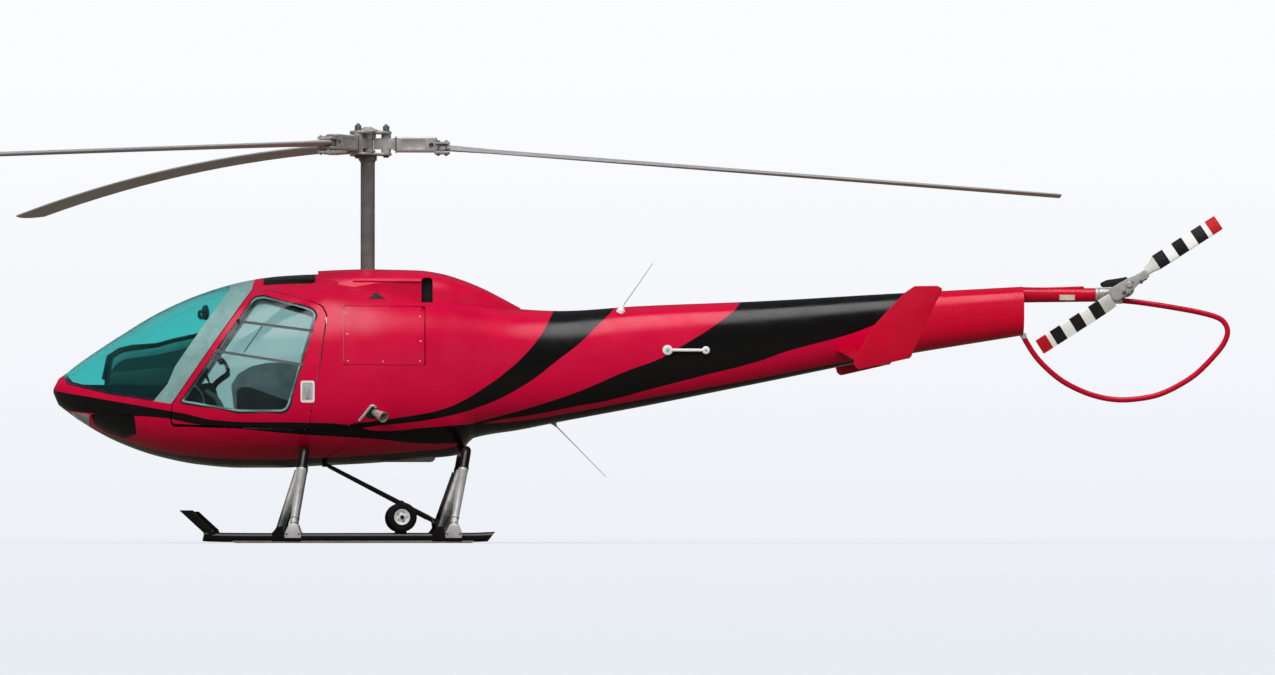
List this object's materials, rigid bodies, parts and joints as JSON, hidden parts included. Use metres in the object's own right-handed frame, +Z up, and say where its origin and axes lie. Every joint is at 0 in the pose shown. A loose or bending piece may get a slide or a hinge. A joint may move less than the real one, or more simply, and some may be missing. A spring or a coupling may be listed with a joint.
{
  "type": "helicopter",
  "caption": "Light piston helicopter on skids: teardrop cabin with wide windows, tall mast with long slender blades, slim tail boom with rotor, guard loop and end plates.",
  "frame": {"origin": "on the floor, under the middle of the whole machine's bounding box", "axes": "+Z up, nose towards -X, tail towards +X, port side towards -Y"},
  "size_m": [8.5443, 8.1328, 2.848],
  "materials": {
    "red": "gloss",
    "black": "gloss",
    "steel": "satin",
    "cast": "satin",
    "white": "gloss",
    "grey": "matte",
    "panel": "matte",
    "fabric": "matte",
    "rubber": "matte",
    "glass": "gloss",
    "smoked": "gloss",
    "lamp": "gloss"
  },
  "bodies": {
    "airframe": {"antenna_lower": "grey", "antenna_upper": "white", "cabin_bulkhead": "grey", "cabin_floor": "grey", "cabin_shell": "red", "chin_window_left": "smoked", "chin_window_right": "smoked", "cross_tube_front": "black", "cross_tube_rear": "black", "cyclic_stick_left": "black", "cyclic_stick_right": "black", "drag_strut_left": "black", "drag_strut_right": "black", "end_plate_left": "red", "end_plate_right": "red", "engine_bay_skin": "red", "engine_block": "cast", "engine_cowl": "red", "exhaust_pipe": "steel", "gear_leg_front_left": "steel", "gear_leg_front_right": "steel", "gear_leg_rear_left": "steel", "gear_leg_rear_right": "steel", "instrument_console": "panel", "landing_light": "lamp", "main_gearbox": "cast", "seat_back": "fabric", "seat_base": "panel", "seat_cushion": "fabric", "skid_left": "black", "skid_right": "black", "skylight": "smoked", "stabilizer": "red", "tail_cone": "red", "tail_drive_tube": "red", "tail_gearbox": "cast", "tail_guard": "red", "windshield": "glass"},
    "main_rotor": {"rotor_mast": "steel", "rotor_hub": "steel", "blade_grip_1": "steel", "blade_grip_2": "steel", "blade_grip_3": "steel", "main_blade_1": "steel", "main_blade_2": "steel", "main_blade_3": "steel"},
    "tail_rotor": {"tail_rotor_hub": "steel", "tail_blade_1": "white", "tail_blade_2": "white"},
    "left_door": {"door_left": "red", "door_window_left": "glass"},
    "right_door": {"door_right": "red", "door_window_right": "glass"},
    "left_engine_panel": {"engine_panel_left": "red"},
    "right_engine_panel": {"engine_panel_right": "red"},
    "left_ground_wheel": {"wheel_left": "rubber"},
    "right_ground_wheel": {"wheel_right": "rubber"}
  },
  "joints": [
    {"name": "main_rotor_spin", "type": "hinge", "parent": "airframe", "child": "main_rotor", "pos_m": [-1.64, 0, 2.2], "axis": [0, 0, 1], "continuous": true},
    {"name": "tail_rotor_spin", "type": "hinge", "parent": "airframe", "child": "tail_rotor", "pos_m": [3.517, -0.38, 1.749], "axis": [0, 1, 0], "continuous": true},
    {"name": "left_door_hinge", "type": "hinge", "parent": "airframe", "child": "left_door", "pos_m": [-2.91, -0.688, 1.0046], "axis": [-0.5685, 0, -0.8227], "range_deg": [0, 80]},
    {"name": "right_door_hinge", "type": "hinge", "parent": "airframe", "child": "right_door", "pos_m": [-2.91, 0.688, 1.0046], "axis": [0.5685, 0, 0.8227], "range_deg": [0, 80]},
    {"name": "left_engine_panel_hinge", "type": "hinge", "parent": "airframe", "child": "left_engine_panel", "pos_m": [-1.801, -0.603, 1.61], "axis": [-0.9627, -0.2707, 0], "range_deg": [0, 70]},
    {"name": "right_engine_panel_hinge", "type": "hinge", "parent": "airframe", "child": "right_engine_panel", "pos_m": [-1.801, 0.603, 1.61], "axis": [0.9627, -0.2707, 0], "range_deg": [0, 70]},
    {"name": "left_ground_wheel_spin", "type": "hinge", "parent": "airframe", "child": "left_ground_wheel", "pos_m": [-1.415, -1.105, 0.172], "axis": [0, 1, 0], "continuous": true},
    {"name": "right_ground_wheel_spin", "type": "hinge", "parent": "airframe", "child": "right_ground_wheel", "pos_m": [-1.415, 1.105, 0.172], "axis": [0, 1, 0], "continuous": true}
  ]
}
